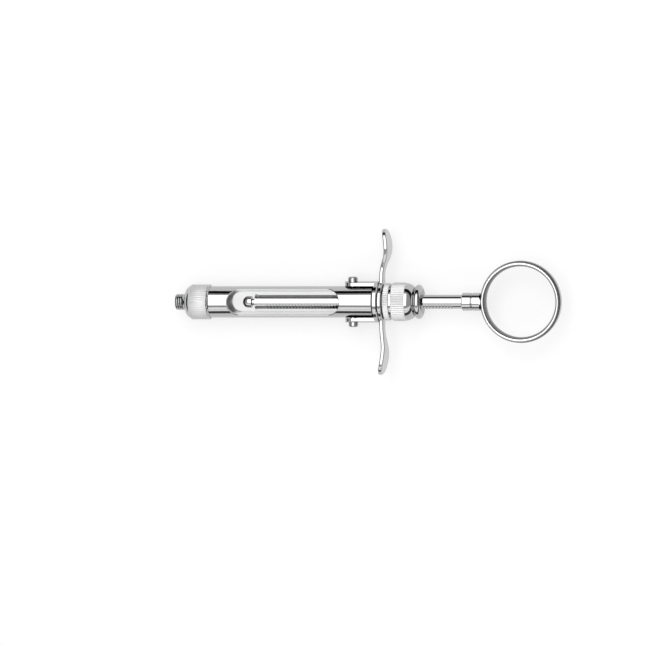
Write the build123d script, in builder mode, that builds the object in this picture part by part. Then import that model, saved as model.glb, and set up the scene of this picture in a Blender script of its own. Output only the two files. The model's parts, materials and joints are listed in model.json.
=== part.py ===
import os
from math import cos, hypot, pi, sin

from build123d import *

os.makedirs("parts", exist_ok=True)

# Dental syringe that breaks back at the breech, lying on its side. Millimetres.
# +X runs along the barrel from the needle to the thumb ring, +Y along the wings and the
# hinge axis, +Z up. The origin is on the barrel's axis, where the needle hub seats.

# Fits between the pieces
thread_clearance = 0.03
running_clearance = 0.07
hinge_clearance = 0.10
face_gap = 0.05

# Needle adapter
stub_r = 2.95
stub_length = 3.6
stub_chamfer = 0.4
needle_channel_r = 0.9
adapter_r = 6.3
adapter_length = 9.25
adapter_dome_length = 2.15
adapter_dome_front_r = 3.5
adapter_dome_arc_r = 3.1
adapter_end_wall = 3.2
adapter_rim_length = 0.9
adapter_rim_round = 0.3

# Straight knurling
knurl_pitch = 0.8
knurl_depth = 0.25
knurl_end_bevel = 0.25
knurl_core_depth = 0.5

# Barrel
bore_r = 4.7
barrel_wall = 1.0
spigot_wall = 0.65
barrel_length = 66.15
barrel_rear_round = 0.5
bore_lead_in = 0.3
window_start = 6.75
window_to_rear = 12.0
window_edge_round = 0.2
near_window_width = 8.9
far_window_width = 6.8

# Yoke and its two hinge screws
pivot_from_rear = 7.83
breech_gap = 0.6
swing_clearance = 0.15
yoke_r = 7.5
disc_thickness = 1.45
disc_edge_round = 0.3
arm_width = 5.8
arm_edge_round = 0.25
boss_wall = 0.9
boss_length = 7.15
screw_head_r = 1.75
screw_head_height = 1.9
screw_head_round = 0.7
screw_seat_depth = 0.3
screw_seat_margin = 0.1
screw_shank_r = 1.25
screw_thread_r = 1.0
screw_slot_width = 0.5
screw_slot_depth = 0.6
screw_tip_inset = 0.1

# Finger grip
grip_thickness = 1.5
grip_hub_r = 7.2
grip_span = 52.6
grip_root_reach = 9.0
grip_left_bow = 1.9
grip_right_bow = 0.9
grip_bow_reach = 17.0
grip_left_tip_offset = 0.9
grip_right_tip_offset = -0.7
grip_root_width = 6.6
grip_waist_width = 5.0
grip_waist_reach = 12.5
grip_pad_width = 10.0
grip_pad_reach = 21.0
grip_root_slope = -0.05
grip_tip_slope = -0.3
grip_edge_round = 0.45
grip_turn = 2.5

# Lock ring and spring housing
lock_ring_r = 6.7
lock_ring_neck_r = 6.1
lock_ring_neck_length = 0.4
lock_ring_length = 2.4
housing_r = 6.93
housing_neck_r = 6.35
housing_neck_length = 0.9
housing_knurl_length = 4.9
housing_shoulder_length = 3.1
housing_shoulder_front_r = 6.75
housing_shoulder_rear_r = 5.25
housing_shoulder_arc_r = 4.4
bush_length = 2.6
bush_wall = 0.7
bush_flange_thickness = 0.6
bush_flange_margin = 0.15

# Lock sleeve, its spring and its pull knob
nose_engagement = 1.85
nose_length = 6.2
nose_bevel = 0.3
nose_clear_of_disc = 0.25
stem_r = 3.6
harpoon_pocket_margin = 0.25
washer_thickness = 0.5
spring_wire_r = 0.25
spring_turns = 5.5
seal_section_r = 0.3
seal_from_knob = 2.2
knob_r = 6.2
knob_section_r = 1.3
knob_recess_depth = 0.9
stem_end_inset = 0.8

# Piston rod, harpoon and thumb ring
rod_r = 2.525
rod_length = 75.25
rod_end_r = 2.0
rod_end_length = 6.3
tooth_pitch = 1.165
tooth_depth = 0.5
tooth_turn = 32.0
tooth_width = 0.95
toothed_start = 3.2
toothed_end = 3.0
harpoon_ball_r = 2.1
harpoon_neck_r = 1.15
harpoon_length = 5.35
harpoon_barb_length = 3.3
harpoon_barb_undercut = 0.45
harpoon_collar_r = 2.75
harpoon_collar_length = 0.6
harpoon_stud_r = 1.0
harpoon_stud_length = 3.0
forward_stroke = 14.55
nut_r = 3.25
nut_length = 3.65
nut_bevel = 0.35
shank_length = 2.95
shank_cone_length = 1.3
shank_cone_end_r = 1.5
ring_outer_r = 14.85
ring_section = 2.2
ring_width = 6.0

# Places along the axis, worked out from the sizes above
knurl_root_inset = knurl_depth + knurl_core_depth
barrel_front = adapter_end_wall + face_gap
barrel_shoulder = adapter_length + face_gap
barrel_rear = barrel_front + barrel_length
barrel_r = bore_r + barrel_wall
spigot_r = bore_r + spigot_wall
window_front = adapter_length + window_start
window_rear = barrel_rear - window_to_rear
window_length = window_rear - window_front
window_middle = (window_front + window_rear) / 2
pivot_x = barrel_rear - pivot_from_rear
disc_front = barrel_rear + breech_gap
disc_rear = disc_front + disc_thickness
swing_r = disc_front - pivot_x - swing_clearance
arm_inner = barrel_r + hinge_clearance
arm_front = pivot_x - arm_width / 2
boss_r = bore_r + boss_wall
boss_rear = disc_rear + boss_length
grip_front = disc_rear + face_gap
grip_rear = grip_front + grip_thickness
lock_ring_front = grip_rear + face_gap
lock_ring_rear = lock_ring_front + lock_ring_length
housing_front = lock_ring_rear + face_gap
housing_knurl_front = housing_front + housing_neck_length
housing_knurl_rear = housing_knurl_front + housing_knurl_length
housing_rear = housing_knurl_rear + housing_shoulder_length
boss_thread_r = boss_r + thread_clearance
bush_inner_r = stem_r + running_clearance
bush_outer_r = bush_inner_r + bush_wall
bush_flange_r = bore_r - bush_flange_margin
bush_seat = housing_rear - bush_length
nose_front = barrel_rear - nose_engagement
nose_rear = nose_front + nose_length
sleeve_travel = nose_engagement + breech_gap + nose_clear_of_disc
nose_r = bore_r - running_clearance
washer_front = nose_rear + face_gap
washer_rear = washer_front + washer_thickness
spring_front = washer_rear + face_gap + spring_wire_r
spring_rear = bush_seat - bush_flange_thickness - face_gap - spring_wire_r
spring_middle_r = (bush_inner_r + nose_r) / 2
knob_front = housing_rear + face_gap
knob_rear = knob_front + 2 * knob_section_r
stem_rear = knob_rear - stem_end_inset
rod_bore_r = rod_r + running_clearance
harpoon_pocket_r = harpoon_collar_r + harpoon_pocket_margin
harpoon_pocket_rear = nose_front + harpoon_length
nut_front = knob_rear + forward_stroke
rod_front = nut_front - rod_length
harpoon_front = rod_front - harpoon_length
nut_rear = nut_front + nut_length
shank_front = nut_rear
ring_front = shank_front + shank_length
ring_middle = ring_front + ring_outer_r
half_span = grip_span / 2
cut_reach = grip_span


# Straight knurling: a band with pointed teeth all round, bevelled at both ends
def knurled_band(tip_r, front, rear):
    count = round(2 * pi * tip_r / knurl_pitch)
    step = pi / count
    radii = (tip_r, tip_r - knurl_depth)
    outline = [(radii[i % 2] * cos(i * step), radii[i % 2] * sin(i * step)) for i in range(2 * count)]
    with BuildPart() as band:
        with BuildSketch(Plane.YZ.offset(front)):
            with BuildLine():
                Polyline(*outline, close=True)
            make_face()
        extrude(amount=rear - front)
        with BuildSketch(Plane.XY):
            with BuildLine():
                Polyline(
                    (front, 0),
                    (front, tip_r - knurl_end_bevel),
                    (front + knurl_end_bevel, tip_r),
                    (rear - knurl_end_bevel, tip_r),
                    (rear, tip_r - knurl_end_bevel),
                    (rear, 0),
                    close=True,
                )
            make_face()
        revolve(axis=Axis.X, mode=Mode.INTERSECT)
    return band.part


# Needle adapter: domed knurled cap with the needle stub in front and a socket for the barrel
adapter_knurl_rear = adapter_length - adapter_rim_length
adapter_core_r = adapter_r - knurl_root_inset
with BuildPart() as needle_adapter:
    with BuildSketch(Plane.XY):
        with BuildLine():
            Polyline(
                (0, adapter_dome_front_r),
                (0, stub_r),
                (stub_chamfer - stub_length, stub_r),
                (-stub_length, stub_r - stub_chamfer),
                (-stub_length, 0),
                (adapter_length, 0),
                (adapter_length, adapter_r - adapter_rim_round),
                (adapter_length - adapter_rim_round, adapter_r),
                (adapter_knurl_rear, adapter_r),
                (adapter_knurl_rear, adapter_core_r),
                (adapter_dome_length, adapter_core_r),
                (adapter_dome_length, adapter_r - knurl_end_bevel),
            )
            RadiusArc(
                (adapter_dome_length, adapter_r - knurl_end_bevel),
                (0, adapter_dome_front_r),
                radius=-adapter_dome_arc_r,
            )
        make_face()
    revolve(axis=Axis.X)
    add(knurled_band(adapter_r, adapter_dome_length, adapter_knurl_rear))
    with BuildSketch(Plane.YZ.offset(-stub_length)):
        Circle(needle_channel_r)
    extrude(amount=stub_length + adapter_length, mode=Mode.SUBTRACT)
    with BuildSketch(Plane.YZ.offset(adapter_end_wall)):
        Circle(spigot_r + thread_clearance)
    extrude(amount=adapter_length, mode=Mode.SUBTRACT)
needle_adapter.part.label = "needle_adapter"
export_step(needle_adapter.part, "parts/needle_adapter.step")


# How far the middle of an edge lies from the barrel's axis
def distance_from_axis(edge):
    middle = edge @ 0.5
    return hypot(middle.Y, middle.Z)


# Barrel: a tube with a spigot for the adapter, a window above and below and two hinge holes.
# Its rear end is cut back below, in an arc round the hinge, so that it swings past the disc.
with BuildPart() as barrel:
    with BuildSketch(Plane.XY):
        with BuildLine():
            Polyline(
                (barrel_front, bore_r),
                (barrel_front, spigot_r),
                (barrel_shoulder, spigot_r),
                (barrel_shoulder, barrel_r),
                (barrel_rear, barrel_r),
                (barrel_rear, bore_r + bore_lead_in),
                (barrel_rear - bore_lead_in, bore_r),
                close=True,
            )
        make_face()
    revolve(axis=Axis.X)
    rear_edges = barrel.edges().filter_by(GeomType.CIRCLE).group_by(Axis.X)[-1]
    fillet(rear_edges.sort_by(SortBy.RADIUS)[-1], radius=barrel_rear_round)
    with BuildSketch(Plane.XY):
        with Locations((window_middle, 0)):
            SlotOverall(window_length, near_window_width)
    extrude(amount=cut_reach, mode=Mode.SUBTRACT)
    near_rim = barrel.edges(Select.LAST).filter_by(lambda edge: distance_from_axis(edge) > spigot_r)
    with BuildSketch(Plane.XY):
        with Locations((window_middle, 0)):
            SlotOverall(window_length, far_window_width)
    extrude(amount=-cut_reach, mode=Mode.SUBTRACT)
    far_rim = barrel.edges(Select.LAST).filter_by(lambda edge: distance_from_axis(edge) > spigot_r)
    fillet(near_rim + far_rim, radius=window_edge_round)
    with BuildSketch(Plane.XZ):
        with Locations((pivot_x, 0)):
            Circle(screw_thread_r + thread_clearance)
    extrude(amount=cut_reach, both=True, mode=Mode.SUBTRACT)
    with BuildSketch(Plane.XZ):
        with Locations((pivot_x, 0)):
            Rectangle(cut_reach, cut_reach, align=(Align.MIN, Align.MAX))
            Circle(swing_r, mode=Mode.SUBTRACT)
    extrude(amount=cut_reach, both=True, mode=Mode.SUBTRACT)
barrel.part.label = "barrel"
export_step(barrel.part, "parts/barrel.step")

# Yoke: two flat arms milled from the round, the breech disc and the threaded boss behind it
arm_spot_face = yoke_r - screw_seat_depth
with BuildPart() as yoke:
    with BuildSketch(Plane.XY):
        with BuildLine():
            Polyline(
                (arm_front, bore_r),
                (arm_front, yoke_r),
                (disc_rear - disc_edge_round, yoke_r),
                (disc_rear, yoke_r - disc_edge_round),
                (disc_rear, boss_r),
                (boss_rear, boss_r),
                (boss_rear, bore_r),
                close=True,
            )
        make_face()
    revolve(axis=Axis.X)
    with BuildSketch(Plane.XY):
        with Locations(((arm_front + disc_front) / 2, 0)):
            Rectangle(disc_front - arm_front, 2 * arm_inner)
    extrude(amount=cut_reach, both=True, mode=Mode.SUBTRACT)
    with BuildSketch(Plane.XZ):
        with Locations(((arm_front + disc_front) / 2, 0)):
            Rectangle(disc_front - arm_front, cut_reach)
        with Locations(((pivot_x + disc_front) / 2, 0)):
            Rectangle(disc_front - pivot_x, arm_width, mode=Mode.SUBTRACT)
        with Locations((pivot_x, 0)):
            Circle(arm_width / 2, mode=Mode.SUBTRACT)
    extrude(amount=cut_reach, both=True, mode=Mode.SUBTRACT)
    outer_edges = yoke.edges().filter_by(lambda edge: distance_from_axis(edge) > yoke_r - disc_edge_round)
    fillet(outer_edges.filter_by(lambda edge: (edge @ 0.5).X < disc_front), radius=arm_edge_round)
    with BuildSketch(Plane.XZ):
        with Locations((pivot_x, 0)):
            Circle(screw_shank_r + hinge_clearance)
    extrude(amount=cut_reach, both=True, mode=Mode.SUBTRACT)
    for side in (-1, 1):
        with BuildSketch(Plane.XZ.offset(side * arm_spot_face)):
            with Locations((pivot_x, 0)):
                Circle(screw_head_r + screw_seat_margin)
        extrude(amount=side * cut_reach, mode=Mode.SUBTRACT)
yoke.part.label = "yoke"
export_step(yoke.part, "parts/yoke.step")


# Hinge screw: slotted round head on the arm, shank in the arm, thread in the barrel's wall
def hinge_screw(side):
    seat = side * arm_spot_face
    top = side * (arm_spot_face + screw_head_height)
    shoulder = side * (barrel_r + face_gap)
    tip = side * (bore_r + screw_tip_inset)
    hinge_axis = Axis((pivot_x, 0, 0), (0, 1, 0))
    with BuildPart() as screw:
        with BuildSketch(Plane.XY):
            with BuildLine():
                Polyline(
                    (pivot_x, top),
                    (pivot_x, tip),
                    (pivot_x + screw_thread_r, tip),
                    (pivot_x + screw_thread_r, shoulder),
                    (pivot_x + screw_shank_r, shoulder),
                    (pivot_x + screw_shank_r, seat),
                    (pivot_x + screw_head_r, seat),
                    (pivot_x + screw_head_r, top),
                    close=True,
                )
            make_face()
        revolve(axis=hinge_axis)
        head_edge = screw.edges().filter_by(GeomType.CIRCLE).sort_by(Axis.Y)[-1 if side > 0 else 0]
        fillet(head_edge, radius=screw_head_round)
        with BuildSketch(Plane.XZ.offset(-top)):
            with Locations((pivot_x, 0)):
                Rectangle(screw_slot_width, 2 * screw_head_r)
        extrude(amount=side * screw_slot_depth, mode=Mode.SUBTRACT)
    return screw


left_hinge_screw = hinge_screw(1)
left_hinge_screw.part.label = "left_hinge_screw"
export_step(left_hinge_screw.part, "parts/left_hinge_screw.step")
right_hinge_screw = hinge_screw(-1)
right_hinge_screw.part.label = "right_hinge_screw"
export_step(right_hinge_screw.part, "parts/right_hinge_screw.step")

# Finger grip: a bowed bar with a narrow waist and broad pads on each side of a flat hub
grip_side_plane = Plane.XY.rotated((-grip_turn, 0, 0))
grip_face_plane = Plane.YZ.rotated((-grip_turn, 0, 0))
left_wing = (1, grip_left_bow, grip_left_tip_offset)
right_wing = (-1, grip_right_bow, grip_right_tip_offset)
with BuildPart() as finger_grip:
    with BuildSketch(grip_side_plane):
        for side, bow, tip_offset in (left_wing, right_wing):
            with BuildLine():
                front = Spline(
                    (grip_front, side * grip_root_reach),
                    (grip_front + bow, side * grip_bow_reach),
                    (grip_front + tip_offset, side * half_span),
                    tangents=[(0, side), (grip_tip_slope, side)],
                )
                rear = Spline(
                    (grip_rear, side * grip_root_reach),
                    (grip_rear + bow, side * grip_bow_reach),
                    (grip_rear + tip_offset, side * half_span),
                    tangents=[(0, side), (grip_tip_slope, side)],
                )
                Line(front @ 1, rear @ 1)
                Polyline(front @ 0, (grip_front, 0), (grip_rear, 0), rear @ 0)
            make_face()
    extrude(amount=grip_hub_r, both=True)
    with BuildSketch(grip_face_plane.offset(grip_front)):
        for side in (-1, 1):
            with BuildLine():
                pad_edge = Spline(
                    (0, grip_root_width / 2),
                    (side * grip_waist_reach, grip_waist_width / 2),
                    (side * grip_pad_reach, grip_pad_width / 2),
                    (side * half_span, 0),
                    tangents=[(side, grip_root_slope), (0, -1)],
                )
                mirror(pad_edge, about=Plane.XZ)
                Line((0, grip_root_width / 2), (0, -grip_root_width / 2))
            make_face()
        Circle(grip_hub_r)
    extrude(amount=cut_reach, both=True, mode=Mode.INTERSECT)
    outline_edges = finger_grip.edges().filter_by(lambda edge: edge.length > 2 * grip_thickness)
    fillet(outline_edges, radius=grip_edge_round)
    with BuildSketch(grip_face_plane.offset(grip_front)):
        Circle(boss_r + running_clearance)
    extrude(amount=cut_reach, both=True, mode=Mode.SUBTRACT)
finger_grip.part.label = "finger_grip"
export_step(finger_grip.part, "parts/finger_grip.step")

# Lock ring: knurled nut that clamps the grip against the disc
lock_ring_knurl_front = lock_ring_front + lock_ring_neck_length
with BuildPart() as grip_lock_ring:
    with BuildSketch(Plane.XY):
        with BuildLine():
            Polyline(
                (lock_ring_front, boss_thread_r),
                (lock_ring_front, lock_ring_neck_r),
                (lock_ring_knurl_front, lock_ring_neck_r),
                (lock_ring_knurl_front, lock_ring_r - knurl_root_inset),
                (lock_ring_rear, lock_ring_r - knurl_root_inset),
                (lock_ring_rear, boss_thread_r),
                close=True,
            )
        make_face()
    revolve(axis=Axis.X)
    add(knurled_band(lock_ring_r, lock_ring_knurl_front, lock_ring_rear))
    with BuildSketch(Plane.YZ.offset(lock_ring_front)):
        Circle(boss_thread_r)
    extrude(amount=lock_ring_length, mode=Mode.SUBTRACT)
grip_lock_ring.part.label = "grip_lock_ring"
export_step(grip_lock_ring.part, "parts/grip_lock_ring.step")

# Spring housing: knurled cap on the boss, closed behind by a rounded polished shoulder
with BuildPart() as spring_housing:
    with BuildSketch(Plane.XY):
        with BuildLine():
            Polyline(
                (housing_knurl_rear, housing_shoulder_front_r),
                (housing_knurl_rear, housing_r - knurl_root_inset),
                (housing_knurl_front, housing_r - knurl_root_inset),
                (housing_knurl_front, housing_neck_r),
                (housing_front, housing_neck_r),
                (housing_front, 0),
                (housing_rear, 0),
                (housing_rear, housing_shoulder_rear_r),
            )
            RadiusArc(
                (housing_rear, housing_shoulder_rear_r),
                (housing_knurl_rear, housing_shoulder_front_r),
                radius=-housing_shoulder_arc_r,
            )
        make_face()
    revolve(axis=Axis.X)
    add(knurled_band(housing_r, housing_knurl_front, housing_knurl_rear))
    with BuildSketch(Plane.YZ.offset(housing_front)):
        Circle(boss_thread_r)
    extrude(amount=boss_rear + face_gap - housing_front, mode=Mode.SUBTRACT)
    with BuildSketch(Plane.YZ.offset(housing_front)):
        Circle(bore_r)
    extrude(amount=bush_seat - housing_front, mode=Mode.SUBTRACT)
    with BuildSketch(Plane.YZ.offset(housing_front)):
        Circle(bush_outer_r + thread_clearance)
    extrude(amount=housing_rear - housing_front, mode=Mode.SUBTRACT)
spring_housing.part.label = "spring_housing"
export_step(spring_housing.part, "parts/spring_housing.step")

# Guide bush: carries the sleeve's stem, and its flange is the spring's rear seat
with BuildPart() as guide_bush:
    with BuildSketch(Plane.XY):
        with BuildLine():
            Polyline(
                (bush_seat - bush_flange_thickness, bush_inner_r),
                (bush_seat - bush_flange_thickness, bush_flange_r),
                (bush_seat, bush_flange_r),
                (bush_seat, bush_outer_r),
                (housing_rear, bush_outer_r),
                (housing_rear, bush_inner_r),
                close=True,
            )
        make_face()
    revolve(axis=Axis.X)
guide_bush.part.label = "guide_bush"
export_step(guide_bush.part, "parts/guide_bush.step")

# Lock sleeve: its nose plugs into the barrel's breech, its stem runs back to the pull knob
seal_middle = knob_front - seal_from_knob
seal_middle_r = rod_r + thread_clearance + seal_section_r
seal_groove_r = seal_middle_r + seal_section_r + face_gap
with BuildPart() as lock_sleeve:
    with BuildSketch(Plane.XY):
        with BuildLine():
            Polyline(
                (nose_front, harpoon_pocket_r),
                (nose_front, nose_r - nose_bevel),
                (nose_front + nose_bevel, nose_r),
                (nose_rear, nose_r),
                (nose_rear, stem_r),
                (stem_rear, stem_r),
                (stem_rear, rod_bore_r),
                (seal_middle + seal_section_r + face_gap, rod_bore_r),
                (seal_middle + seal_section_r + face_gap, seal_groove_r),
                (seal_middle - seal_section_r - face_gap, seal_groove_r),
                (seal_middle - seal_section_r - face_gap, rod_bore_r),
                (harpoon_pocket_rear, rod_bore_r),
                (harpoon_pocket_rear, harpoon_pocket_r),
                close=True,
            )
        make_face()
    revolve(axis=Axis.X)
lock_sleeve.part.label = "lock_sleeve"
export_step(lock_sleeve.part, "parts/lock_sleeve.step")

# Thrust washer: lets the sleeve turn under the spring
with BuildPart() as thrust_washer:
    with BuildSketch(Plane.YZ.offset(washer_front)):
        Circle(nose_r)
        Circle(stem_r + running_clearance, mode=Mode.SUBTRACT)
    extrude(amount=washer_thickness)
thrust_washer.part.label = "thrust_washer"
export_step(thrust_washer.part, "parts/thrust_washer.step")

# Return spring: a compression coil round the stem
spring_length = spring_rear - spring_front
with BuildPart() as return_spring:
    with BuildLine() as coil:
        Helix(
            pitch=spring_length / spring_turns,
            height=spring_length,
            radius=spring_middle_r,
            center=(spring_front, 0, 0),
            direction=(1, 0, 0),
        )
    with BuildSketch(Plane(origin=coil.line @ 0, z_dir=coil.line % 0)):
        Circle(spring_wire_r)
    sweep(is_frenet=True)
return_spring.part.label = "return_spring"
export_step(return_spring.part, "parts/return_spring.step")

# Rod seal: a soft ring in the stem's groove that drags on the rod
with BuildPart() as rod_seal:
    with BuildSketch(Plane.XY):
        with Locations((seal_middle, seal_middle_r)):
            Circle(seal_section_r)
    revolve(axis=Axis.X)
rod_seal.part.label = "rod_seal"
export_step(rod_seal.part, "parts/rod_seal.step")

# Pull knob: a round-rimmed ring screwed on the stem, dished behind
knob_middle_r = knob_r - knob_section_r
knob_bore_r = stem_r + thread_clearance
with BuildPart() as pull_knob:
    with BuildSketch(Plane.XY):
        with BuildLine():
            ThreePointArc(
                (knob_front, knob_middle_r),
                (knob_front + knob_section_r, knob_r),
                (knob_rear, knob_middle_r),
            )
            Polyline(
                (knob_rear, knob_middle_r),
                (knob_rear - knob_recess_depth, knob_bore_r),
                (knob_front, knob_bore_r),
                (knob_front, knob_middle_r),
            )
        make_face()
    revolve(axis=Axis.X)
pull_knob.part.label = "pull_knob"
export_step(pull_knob.part, "parts/pull_knob.step")

# Piston rod: round, with a row of cross teeth along one flank and a stud for the thumb ring
toothed_length = rod_length - toothed_start - toothed_end
tooth_count = int(toothed_length / tooth_pitch)
toothed_middle = rod_front + toothed_start + toothed_length / 2
with BuildPart() as piston_rod:
    with BuildSketch(Plane.YZ.offset(rod_front)):
        Circle(rod_r)
    extrude(amount=rod_length)
    with BuildSketch(Plane.YZ.offset(nut_front)):
        Circle(rod_end_r)
    extrude(amount=rod_end_length)
    with BuildSketch(Plane.YZ.offset(rod_front)):
        Circle(harpoon_stud_r + thread_clearance)
    extrude(amount=harpoon_stud_length + face_gap, mode=Mode.SUBTRACT)
    with BuildSketch(Plane.XY.rotated((-tooth_turn, 0, 0))):
        with Locations((toothed_middle, -rod_r)):
            with GridLocations(tooth_pitch, 1, tooth_count, 1):
                Polygon(
                    (-tooth_width / 2, 0),
                    (0, tooth_depth),
                    (tooth_width / 2, 0),
                    (0, -tooth_depth),
                    align=None,
                )
    extrude(amount=rod_r, both=True, mode=Mode.SUBTRACT)
piston_rod.part.label = "piston_rod"
export_step(piston_rod.part, "parts/piston_rod.step")

# Harpoon: a blunt barbed head on a slim neck, with a stop collar and a stud into the rod
harpoon_collar_front = rod_front - harpoon_collar_length
barb_rear = harpoon_front + harpoon_barb_length
with BuildPart() as harpoon:
    with BuildSketch(Plane.XY):
        with BuildLine():
            ThreePointArc(
                (harpoon_front, 0),
                (harpoon_front + harpoon_ball_r * (1 - cos(pi / 4)), harpoon_ball_r * sin(pi / 4)),
                (harpoon_front + harpoon_ball_r, harpoon_ball_r),
            )
            Polyline(
                (harpoon_front + harpoon_ball_r, harpoon_ball_r),
                (barb_rear, harpoon_ball_r),
                (barb_rear - harpoon_barb_undercut, harpoon_neck_r),
                (harpoon_collar_front, harpoon_neck_r),
                (harpoon_collar_front, harpoon_collar_r),
                (rod_front, harpoon_collar_r),
                (rod_front, harpoon_stud_r),
                (rod_front + harpoon_stud_length, harpoon_stud_r),
                (rod_front + harpoon_stud_length, 0),
                (harpoon_front, 0),
            )
        make_face()
    revolve(axis=Axis.X)
harpoon.part.label = "harpoon"
export_step(harpoon.part, "parts/harpoon.step")

# Ring nut: locks the thumb ring on the rod's stud
with BuildPart() as ring_nut:
    with BuildSketch(Plane.YZ.offset(nut_front)):
        Circle(nut_r)
        Circle(rod_end_r + thread_clearance, mode=Mode.SUBTRACT)
    extrude(amount=nut_length)
    rim_edges = ring_nut.edges().filter_by(GeomType.CIRCLE).sort_by(SortBy.RADIUS)[-2:]
    chamfer(rim_edges, length=nut_bevel)
ring_nut.part.label = "ring_nut"
export_step(ring_nut.part, "parts/ring_nut.step")

# Thumb ring: a rounded band with a round shank in front, bored for the rod's stud
ring_axis = Axis((ring_middle, 0, 0), (0, 0, 1))
band_middle_r = ring_outer_r - ring_section / 2
with BuildPart() as thumb_ring:
    with BuildSketch(Plane.XY):
        with BuildLine():
            Polyline(
                (shank_front, 0),
                (shank_front, nut_r - nut_bevel),
                (shank_front + nut_bevel, nut_r),
                (ring_front, nut_r),
                (ring_front + shank_cone_length, shank_cone_end_r),
                (ring_front + shank_cone_length, 0),
                close=True,
            )
        make_face()
    revolve(axis=Axis.X)
    with BuildSketch(Plane.XZ):
        with Locations((ring_middle - band_middle_r, 0)):
            Ellipse(ring_section / 2, ring_width / 2)
    revolve(axis=ring_axis)
    with BuildSketch(Plane.YZ.offset(shank_front)):
        Circle(rod_end_r + thread_clearance)
    extrude(amount=nut_front + rod_end_length + face_gap - shank_front, mode=Mode.SUBTRACT)
thumb_ring.part.label = "thumb_ring"
export_step(thumb_ring.part, "parts/thumb_ring.step")

# The breech folds once the rod and the sleeve's nose are drawn back: the barrel's upper rear
# corner stays inside the swing below the axis, where its end is cut back
print("sleeve travel, mm:", round(sleeve_travel, 2))
print("spring length left at full pull, mm:", round(spring_rear - spring_front - sleeve_travel, 2))
print("overall length, mm:", round(ring_middle + ring_outer_r + stub_length, 2))
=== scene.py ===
import json
from math import cos, pi, radians, sin

import bpy
from mathutils import Matrix, Vector

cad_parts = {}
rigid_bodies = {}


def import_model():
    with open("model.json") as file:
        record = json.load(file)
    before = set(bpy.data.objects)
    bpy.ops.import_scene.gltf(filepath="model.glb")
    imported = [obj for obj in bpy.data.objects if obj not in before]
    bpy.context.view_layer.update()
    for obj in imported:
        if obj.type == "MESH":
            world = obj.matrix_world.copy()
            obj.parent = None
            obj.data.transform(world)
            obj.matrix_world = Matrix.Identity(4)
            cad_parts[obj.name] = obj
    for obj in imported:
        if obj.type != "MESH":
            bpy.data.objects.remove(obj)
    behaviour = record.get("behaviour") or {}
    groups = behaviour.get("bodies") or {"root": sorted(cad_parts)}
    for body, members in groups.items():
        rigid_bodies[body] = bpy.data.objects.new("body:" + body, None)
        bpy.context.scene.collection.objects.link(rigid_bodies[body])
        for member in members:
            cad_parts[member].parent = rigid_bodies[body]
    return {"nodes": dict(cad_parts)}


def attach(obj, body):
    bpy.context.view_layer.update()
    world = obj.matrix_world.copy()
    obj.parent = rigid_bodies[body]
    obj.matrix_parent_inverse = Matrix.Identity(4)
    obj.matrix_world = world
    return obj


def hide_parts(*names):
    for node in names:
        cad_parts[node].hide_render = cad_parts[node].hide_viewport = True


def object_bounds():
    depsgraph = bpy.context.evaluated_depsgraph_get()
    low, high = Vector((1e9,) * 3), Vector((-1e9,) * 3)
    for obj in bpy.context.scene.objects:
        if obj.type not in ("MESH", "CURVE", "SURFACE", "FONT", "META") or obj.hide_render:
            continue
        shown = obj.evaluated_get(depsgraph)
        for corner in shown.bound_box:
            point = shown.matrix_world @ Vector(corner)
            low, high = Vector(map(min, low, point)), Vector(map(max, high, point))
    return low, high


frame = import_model()
cadLow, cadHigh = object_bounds()
bpy.ops.object.select_all(action="DESELECT")
print("frame loaded")


class Value:  # a socket that adds Math nodes when it stands in an expression
    def __init__(self, tree, socket):
        self.tree = tree
        self.socket = socket

    def math(self, operation, *others):
        made = self.tree.nodes.new("ShaderNodeMath")
        made.operation = operation
        for place, value in enumerate((self, *others)):
            if isinstance(value, Value):
                self.tree.links.new(value.socket, made.inputs[place])
            else:
                made.inputs[place].default_value = value
        return Value(self.tree, made.outputs[0])

    def __add__(self, other):
        return self.math("ADD", other)

    def __mul__(self, other):
        return self.math("MULTIPLY", other)

    def __sub__(self, other):
        return self.math("SUBTRACT", other)

    def __truediv__(self, other):
        return self.math("DIVIDE", other)

    def __rsub__(self, other):
        return (self * -1) + other

    __radd__ = __add__
    __rmul__ = __mul__


class Nodes:  # one node tree, with one method that adds a node
    def __init__(self, tree):
        self.tree = tree
        tree.nodes.clear()

    def add(self, kind, settings=None, **inputs):
        made = self.tree.nodes.new("ShaderNode" + kind)
        for name, value in (settings or {}).items():
            setattr(made, name, value)
        for name, value in inputs.items():
            named = (s for s in made.inputs if s.enabled and s.name.replace(" ", "") == name)
            socket = next(named)
            if isinstance(value, Value):
                value = value.socket
            if isinstance(value, bpy.types.NodeSocket):
                self.tree.links.new(value, socket)
            else:
                socket.default_value = value
        return made

    def value(self, node, output=0):
        return Value(self.tree, node.outputs[output])

    def finish(self, kind, shader):
        output = self.add(kind)
        self.tree.links.new(shader.outputs[0], output.inputs["Surface"])


def newMaterial(name):
    material = bpy.data.materials.new(name)
    material.use_nodes = True
    return material, Nodes(material.node_tree)


# Camera: nearly straight down, turned a little towards the thumb ring
cameraView = {
    "yaw": radians(12),
    "pitch": radians(3),
    "distance": 4.0,
    "clipRatio": 10,  # how far the clip planes are from the object, as a factor
    "sensor": 36.0,  # in millimetres
    "frameWidth": 0.2322,
    "target": Vector((0.0502, -0.00745, 0)),
}


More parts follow.
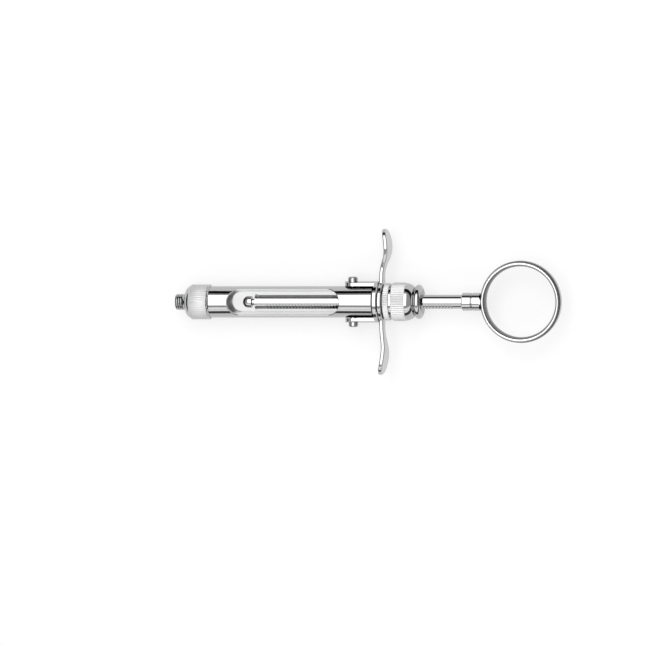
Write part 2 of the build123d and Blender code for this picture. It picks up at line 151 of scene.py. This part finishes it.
def makeCamera(view):
    data = bpy.data.cameras.new("camera")
    camera = bpy.data.objects.new("camera", data)
    bpy.context.scene.collection.objects.link(camera)
    yaw, pitch = view["yaw"], view["pitch"]
    back = Vector((sin(yaw) * cos(pitch), sin(pitch), cos(yaw) * cos(pitch)))
    right = Vector((1, 0, 0)) - back.x * back  # the barrel stays level in the picture
    right.normalize()
    up = back.cross(right)
    turned = Matrix((right, up, back)).transposed().to_4x4()
    camera.matrix_world = Matrix.Translation(view["target"] + back * view["distance"]) @ turned
    data.sensor_width = view["sensor"]
    data.lens = data.sensor_width * view["distance"] / view["frameWidth"]
    data.clip_start = view["distance"] / view["clipRatio"]
    data.clip_end = view["distance"] * view["clipRatio"]
    bpy.context.scene.camera = camera


makeCamera(cameraView)
print("camera made")

# Studio: a pale floor, a broad soft box above and a dark band of room near the horizon
studio = {
    "floorHalf": 0.6,
    "floorColour": (0.9, 0.9, 0.9, 1),
    "whiteShare": 0.65,  # how white the floor is to the camera and in reflections
    "ceiling": 0.55,
    "horizon": 0.05,
    "horizonLean": -0.045,  # the dark band is darker on the side of +Y
    "horizonTop": 0.34,
    "horizonFade": 0.10,
    "panelRadiance": 1.5,  # a bright panel on the side of -Y, placed by Y over Z of the direction
    "panelFar": -3.0,
    "panelNear": -0.78,
    "panelSeam": (-1.52, -1.40),
    "boxHeight": 0.7,
    "boxOffset": 0.20,
    "boxSize": (0.62, 1.15),
    "boxRadiance": 2.3,
}


def between(value, low, high):
    return value.math("GREATER_THAN", low) * value.math("LESS_THAN", high)


def makeFloor(look):
    place = (cameraView["target"].x, 0, cadLow.z)
    bpy.ops.mesh.primitive_plane_add(size=2 * look["floorHalf"], location=place)
    floor = bpy.context.object
    floor.name = "floor"
    material, nodes = newMaterial("floorPaper")
    rays = nodes.add("LightPath")
    seen = nodes.value(rays, "Is Camera Ray").math("MAXIMUM", nodes.value(rays, "Is Glossy Ray"))
    seen = seen.math("MAXIMUM", nodes.value(rays, "Is Transmission Ray"))
    paper = nodes.add("BsdfDiffuse", Color=look["floorColour"])
    white = nodes.add("Emission", Color=(1, 1, 1, 1), Strength=1.0)
    both = nodes.add("MixShader", Fac=seen * look["whiteShare"])
    nodes.tree.links.new(paper.outputs[0], both.inputs[1])
    nodes.tree.links.new(white.outputs[0], both.inputs[2])
    nodes.finish("OutputMaterial", both)
    floor.data.materials.append(material)


def makeRoom(look):
    world = bpy.data.worlds.new("room")
    world.use_nodes = True
    bpy.context.scene.world = world
    nodes = Nodes(world.node_tree)
    around = nodes.add("TexCoord")
    split = nodes.add("SeparateXYZ", Vector=around.outputs["Generated"])
    side, up = nodes.value(split, "Y"), nodes.value(split, "Z")
    band = nodes.add(
        "MapRange",
        {"interpolation_type": "SMOOTHSTEP"},
        Value=up,
        FromMin=look["horizonTop"],
        FromMax=look["horizonTop"] + look["horizonFade"],
        ToMin=side * look["horizonLean"] + look["horizon"],
        ToMax=look["ceiling"],
    )
    slope = side / up
    panel = between(slope, look["panelFar"], look["panelNear"])
    panel = panel * up.math("GREATER_THAN", look["horizonTop"])
    panel = panel * (1 - between(slope, *look["panelSeam"]))
    radiance = nodes.value(band) + panel * (look["panelRadiance"] - look["ceiling"])
    seen = nodes.value(nodes.add("LightPath"), "Is Camera Ray")
    radiance = radiance * (1 - seen) + seen  # past the floor the camera sees white
    sky = nodes.add("Background", Color=(1, 1, 1, 1), Strength=radiance)
    nodes.finish("OutputWorld", sky)


def makeSoftBox(look):
    data = bpy.data.lights.new("softBox", "AREA")
    data.shape = "RECTANGLE"
    data.size, data.size_y = look["boxSize"]
    data.energy = look["boxRadiance"] * pi * data.size * data.size_y  # radiance to power
    lamp = bpy.data.objects.new("softBox", data)
    bpy.context.scene.collection.objects.link(lamp)
    middle = Vector((cameraView["target"].x, 0, 0))
    place = middle + Vector((0, look["boxOffset"], look["boxHeight"]))
    lamp.location = place
    lamp.rotation_mode = "QUATERNION"
    lamp.rotation_quaternion = (middle - place).to_track_quat("-Z", "Y")


makeFloor(studio)
makeRoom(studio)
makeSoftBox(studio)
bpy.context.scene.view_settings.view_transform = "Standard"
print("studio made")

# Threaded stub: the adapter with a V groove wound round its needle stub
thread = {
    "pitch": 0.00075,
    "rootRadius": 0.00249,
    "crestRadius": 0.00295,
    "reach": 0.0001,  # how far the cutter stands out past the crest
    "start": -0.0050,
    "turns": 6,
    "steps": 48,
    "corners": 3,
    "tallness": 1.5,  # a triangle's height in radii
    "weld": 0.000001,
    "smoothAngle": radians(28),
}


def makeThreadCutter(look):
    depth = look["crestRadius"] + look["reach"] - look["rootRadius"]
    radius = depth / look["tallness"]
    bpy.ops.mesh.primitive_circle_add(
        vertices=look["corners"],
        radius=radius,
        fill_type="NOTHING",
        location=(look["start"], look["rootRadius"] + radius, 0),
        rotation=(0, 0, pi),
    )
    cutter = bpy.context.object
    bpy.ops.object.transform_apply(location=True, rotation=True, scale=True)
    winding = cutter.modifiers.new("winding", "SCREW")
    winding.axis = "X"
    winding.screw_offset = look["pitch"]
    winding.iterations = look["turns"]
    winding.steps = look["steps"]
    winding.render_steps = look["steps"]
    bpy.ops.object.modifier_apply(modifier="winding")
    bpy.ops.object.mode_set(mode="EDIT")
    bpy.ops.mesh.select_all(action="SELECT")
    bpy.ops.mesh.fill_holes(sides=look["corners"])
    bpy.ops.mesh.normals_make_consistent(inside=False)
    bpy.ops.object.mode_set(mode="OBJECT")
    return cutter


def makeThreadedAdapter(look):
    source = frame["nodes"]["needle_adapter"]
    bpy.ops.object.select_all(action="DESELECT")
    bpy.context.view_layer.objects.active = source
    source.select_set(True)
    bpy.ops.object.duplicate()
    piece = bpy.context.object
    piece.name = "threadedAdapter"
    for key in [key for key in piece.keys() if key.startswith("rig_")]:
        del piece[key]
    bpy.ops.object.parent_clear(type="CLEAR_KEEP_TRANSFORM")
    bpy.ops.object.mode_set(mode="EDIT")
    bpy.ops.mesh.select_all(action="SELECT")
    bpy.ops.mesh.remove_doubles(threshold=look["weld"])
    bpy.ops.object.mode_set(mode="OBJECT")
    cutter = makeThreadCutter(look)
    bpy.ops.object.select_all(action="DESELECT")
    bpy.context.view_layer.objects.active = piece
    piece.select_set(True)
    cut = piece.modifiers.new("cut", "BOOLEAN")
    cut.operation = "DIFFERENCE"
    cut.solver = "EXACT"
    cut.object = cutter
    bpy.ops.object.modifier_apply(modifier="cut")
    bpy.data.objects.remove(cutter)
    bpy.ops.object.shade_smooth_by_angle(angle=look["smoothAngle"])
    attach(piece, "needle_adapter")
    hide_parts("needle_adapter")
    return piece


threadedAdapter = makeThreadedAdapter(thread)
print("thread cut")

# Polished steel: faint smudges and the lines of the polishing wheel
polished = {
    "colour": (0.46, 0.46, 0.465, 1),
    # painted light: the bore is given a paler colour than the outside
    "boreColour": (0.88, 0.88, 0.885, 1),
    "boreRadius": 0.0,  # no bore, unless a piece gives one
    "boreRoughness": 0.22,
    "roughness": 0.05,
    "smudge": 0.06,
    "smudgeScale": 110.0,
    "smudgeDetail": 3.0,
    "lineStretch": (9000.0, 300.0, 300.0),
    "lineScale": 1.0,
    "lineDetail": 1.0,
    "lineDepth": 0.0000004,
}
polishedNodes = (
    "yoke", "finger_grip", "pull_knob", "piston_rod",
    "harpoon", "ring_nut", "lock_sleeve",
)
boredSteel = dict(polished, boreRadius=0.00482)  # inside its bore the barrel is honed, not buffed, and paler in colour: the paler colour is painted light
screwSteel = dict(polished, colour=(0.42, 0.42, 0.43, 1), roughness=0.12)
ringSteel = dict(  # painted highlight on its rounded edges, painted dark reflections on its walls
    polished,
    middle=0.12305,
    middleRadius=0.01375,
    outerRadius=0.01495,
    edgeHeight=0.0027,
    edgeColour=(0.75, 0.75, 0.755, 1),
    wallColour=(0.15, 0.15, 0.152, 1),
    lineHeight=0.0014,
    lineColour=(0.07, 0.07, 0.071, 1),
)

# Knurled steel: satin inside the band that runs from front to rear, polished outside it, with
# painted shade darkening one groove
knurled = {
    "colour": (0.46, 0.46, 0.465, 1),
    "bandColour": (0.69, 0.69, 0.695, 1),
    "bandMetal": 0.55,
    "recessColour": (0.06, 0.06, 0.062, 1),
    "satin": 0.50,
    "polish": 0.08,
    "grain": 0.08,
    "grainScale": 2600.0,
    "grainDetail": 2.0,
    "grainDepth": 0.000004,
}
knurledBands = {  # front and rear of the satin band; front, rear and radius of a groove darkened with painted shade
    "grip_lock_ring": ((0.0734, 0.0755), (0.0730, 0.07345, 0.0065)),
    "spring_housing": ((0.0763, 0.0814), (0.0754, 0.0756, 0.0065)),
}
adapterBand = ((0.0018, 0.0084), (-0.0040, -0.0001, 0.0027))  # its painted shade lies in the thread's root

# Drawn wire, turned brass and black rubber
wire = dict(polished, colour=(0.40, 0.40, 0.41, 1), roughness=0.25)
brass = dict(polished, colour=(0.62, 0.45, 0.20, 1), roughness=0.22)
rubber = {
    "colour": (0.03, 0.03, 0.03, 1),
    "roughness": 0.55,
    "grain": 0.2,
    "grainScale": 900.0,
    "grainDetail": 2.0,
}
colourOutput = 2  # of the Mix node, whose first two are for numbers and vectors


def fromAxis(nodes, place):  # distance from the barrel's axis
    split = nodes.add("SeparateXYZ", Vector=place)
    across = nodes.value(split, "Y")
    up = nodes.value(split, "Z")
    return (across * across + up * up).math("SQRT")


def mixColours(nodes, factor, first, second):
    mixed = nodes.add("Mix", {"data_type": "RGBA"}, Factor=factor, A=first, B=second)
    return nodes.value(mixed, colourOutput)


def ringPaintedReflections(nodes, place, colour, look):  # painted dark reflections on the inner wall and in a line round the outer wall, painted highlight on the edges
    split = nodes.add("SeparateXYZ", Vector=place)
    along = nodes.value(split, "X") - look["middle"]
    across = nodes.value(split, "Y")
    height = nodes.value(split, "Z").math("ABSOLUTE")
    radius = (along * along + across * across).math("SQRT")
    inner = radius.math("LESS_THAN", look["middleRadius"])
    outer = radius.math("LESS_THAN", look["outerRadius"]) - inner
    edge = height.math("GREATER_THAN", look["edgeHeight"])
    # painted reflections: dark inner wall, dark line round the outer wall, pale highlight on the
    # edges
    colour = mixColours(nodes, inner, colour, look["wallColour"])
    line = outer * height.math("GREATER_THAN", look["lineHeight"])
    colour = mixColours(nodes, line, colour, look["lineColour"])
    return mixColours(nodes, edge * (inner + outer), colour, look["edgeColour"])


def polishedSteel(name, look, paintedLight=None):
    material, nodes = newMaterial(name)
    place = nodes.add("TexCoord").outputs["Object"]
    smudges = nodes.add(
        "TexNoise", Vector=place, Scale=look["smudgeScale"], Detail=look["smudgeDetail"]
    )
    stretched = nodes.add("Mapping", Vector=place, Scale=look["lineStretch"])
    lines = nodes.add(
        "TexNoise",
        Vector=stretched.outputs[0],
        Scale=look["lineScale"],
        Detail=look["lineDetail"],
    )
    bump = nodes.add("Bump", Height=nodes.value(lines), Distance=look["lineDepth"])
    bore = fromAxis(nodes, place).math("LESS_THAN", look["boreRadius"])
    # painted light: inside the bore the colour is paler
    colour = mixColours(nodes, bore, look["colour"], look["boreColour"])
    if paintedLight:
        colour = paintedLight(nodes, place, colour, look)
    roughness = nodes.value(smudges) * look["smudge"] + look["roughness"]
    shader = nodes.add(
        "BsdfPrincipled",
        BaseColor=colour,
        Metallic=1.0,
        Roughness=roughness + bore * look["boreRoughness"],
        Normal=bump.outputs[0],
    )
    nodes.finish("OutputMaterial", shader)
    return material


def knurledSteel(name, look, band, shadedGroove):
    material, nodes = newMaterial(name)
    place = nodes.add("TexCoord").outputs["Object"]
    along = nodes.value(nodes.add("SeparateXYZ", Vector=place))
    inside = between(along, *band)
    colour = mixColours(nodes, inside, look["colour"], look["bandColour"])
    front, rear, radius = shadedGroove
    # painted shade: the groove is darkened in the colour, standing in for the shadow in the gap
    dark = between(along, front, rear) * fromAxis(nodes, place).math("LESS_THAN", radius)
    colour = mixColours(nodes, dark, colour, look["recessColour"])
    grain = nodes.add(
        "TexNoise", Vector=place, Scale=look["grainScale"], Detail=look["grainDetail"]
    )
    speckle = nodes.value(grain) * look["grain"]
    bump = nodes.add("Bump", Height=nodes.value(grain) * inside, Distance=look["grainDepth"])
    shader = nodes.add(
        "BsdfPrincipled",
        BaseColor=colour,
        Metallic=1 - inside * (1 - look["bandMetal"]),
        Roughness=inside * (speckle + look["satin"] - look["polish"]) + look["polish"],
        Normal=bump.outputs[0],
    )
    nodes.finish("OutputMaterial", shader)
    return material


def blackRubber(name, look):
    material, nodes = newMaterial(name)
    place = nodes.add("TexCoord").outputs["Object"]
    grain = nodes.add(
        "TexNoise", Vector=place, Scale=look["grainScale"], Detail=look["grainDetail"]
    )
    shader = nodes.add(
        "BsdfPrincipled",
        BaseColor=look["colour"],
        Roughness=nodes.value(grain) * look["grain"] + look["roughness"],
    )
    nodes.finish("OutputMaterial", shader)
    return material


def dress(piece, material):
    piece.data.materials.clear()
    piece.data.materials.append(material)


for name in polishedNodes:
    dress(frame["nodes"][name], polishedSteel("polishedSteel", polished))
dress(frame["nodes"]["barrel"], polishedSteel("barrelSteel", boredSteel))
# the thumb ring's highlights and dark reflections are painted into its colour
dress(frame["nodes"]["thumb_ring"], polishedSteel("ringSteel", ringSteel, ringPaintedReflections))
for name in ("left_hinge_screw", "right_hinge_screw"):
    dress(frame["nodes"][name], polishedSteel("screwSteel", screwSteel))
for name, zones in knurledBands.items():
    dress(frame["nodes"][name], knurledSteel("knurledSteel", knurled, *zones))
for name in ("return_spring", "thrust_washer"):
    dress(frame["nodes"][name], polishedSteel("springSteel", wire))
dress(frame["nodes"]["guide_bush"], polishedSteel("bushBrass", brass))
dress(frame["nodes"]["rod_seal"], blackRubber("sealRubber", rubber))
dress(threadedAdapter, knurledSteel("adapterSteel", knurled, *adapterBand))
print("finishes given")
